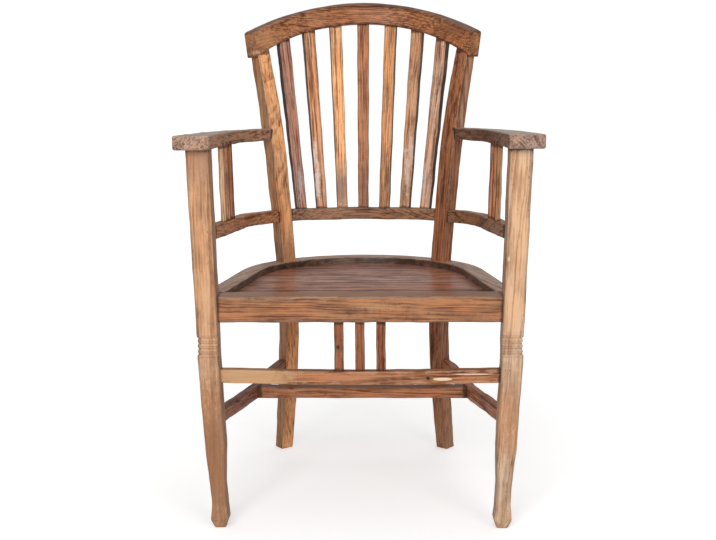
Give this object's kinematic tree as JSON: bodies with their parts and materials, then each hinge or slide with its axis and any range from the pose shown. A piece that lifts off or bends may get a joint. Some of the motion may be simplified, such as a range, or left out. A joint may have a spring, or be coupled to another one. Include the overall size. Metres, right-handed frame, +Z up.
{
  "type": "slatted armchair",
  "caption": "Upright wooden armchair with a barrel back of slats, flat curved arms, a boarded horseshoe seat, beaded front legs and stretchers.",
  "frame": {"origin": "on the floor, under the middle of the chair's bounding box", "axes": "+Z up, -Y the front that the sitter faces, +X the sitter's left"},
  "size_m": [0.634, 0.613, 0.9843],
  "materials": {
    "honey_teak": "oiled, with a low sheen",
    "brown_teak": "oiled, with a low sheen",
    "red_teak": "oiled, with a low sheen",
    "grey_teak": "oiled, with a low sheen",
    "dark_teak": "oiled, with a low sheen"
  },
  "bodies": {
    "root": {"arm_left": "grey_teak", "arm_right": "grey_teak", "arm_slat_left_1": "honey_teak", "arm_slat_left_2": "red_teak", "arm_slat_left_3": "red_teak", "arm_slat_right_1": "honey_teak", "arm_slat_right_2": "red_teak", "arm_slat_right_3": "red_teak", "back_post_left": "brown_teak", "back_post_right": "honey_teak", "back_slat_1": "grey_teak", "back_slat_2": "honey_teak", "back_slat_3": "red_teak", "back_slat_4": "red_teak", "back_slat_5": "honey_teak", "back_slat_6": "brown_teak", "back_slat_7": "grey_teak", "crest_rail": "red_teak", "cross_stretcher": "brown_teak", "front_leg_left": "honey_teak", "front_leg_right": "honey_teak", "front_slat_1": "red_teak", "front_slat_2": "red_teak", "front_slat_3": "red_teak", "front_stretcher": "honey_teak", "lower_back_rail": "brown_teak", "seat_batten_left": "brown_teak", "seat_batten_right": "brown_teak", "seat_board_1": "dark_teak", "seat_board_2": "dark_teak", "seat_board_3": "dark_teak", "seat_board_4": "dark_teak", "seat_board_5": "dark_teak", "seat_front_rail": "brown_teak", "seat_rim_back": "grey_teak", "seat_rim_left": "grey_teak", "seat_rim_right": "grey_teak", "side_rail_left": "brown_teak", "side_rail_right": "brown_teak", "side_stretcher_left": "dark_teak", "side_stretcher_right": "dark_teak"}
  },
  "joints": []
}
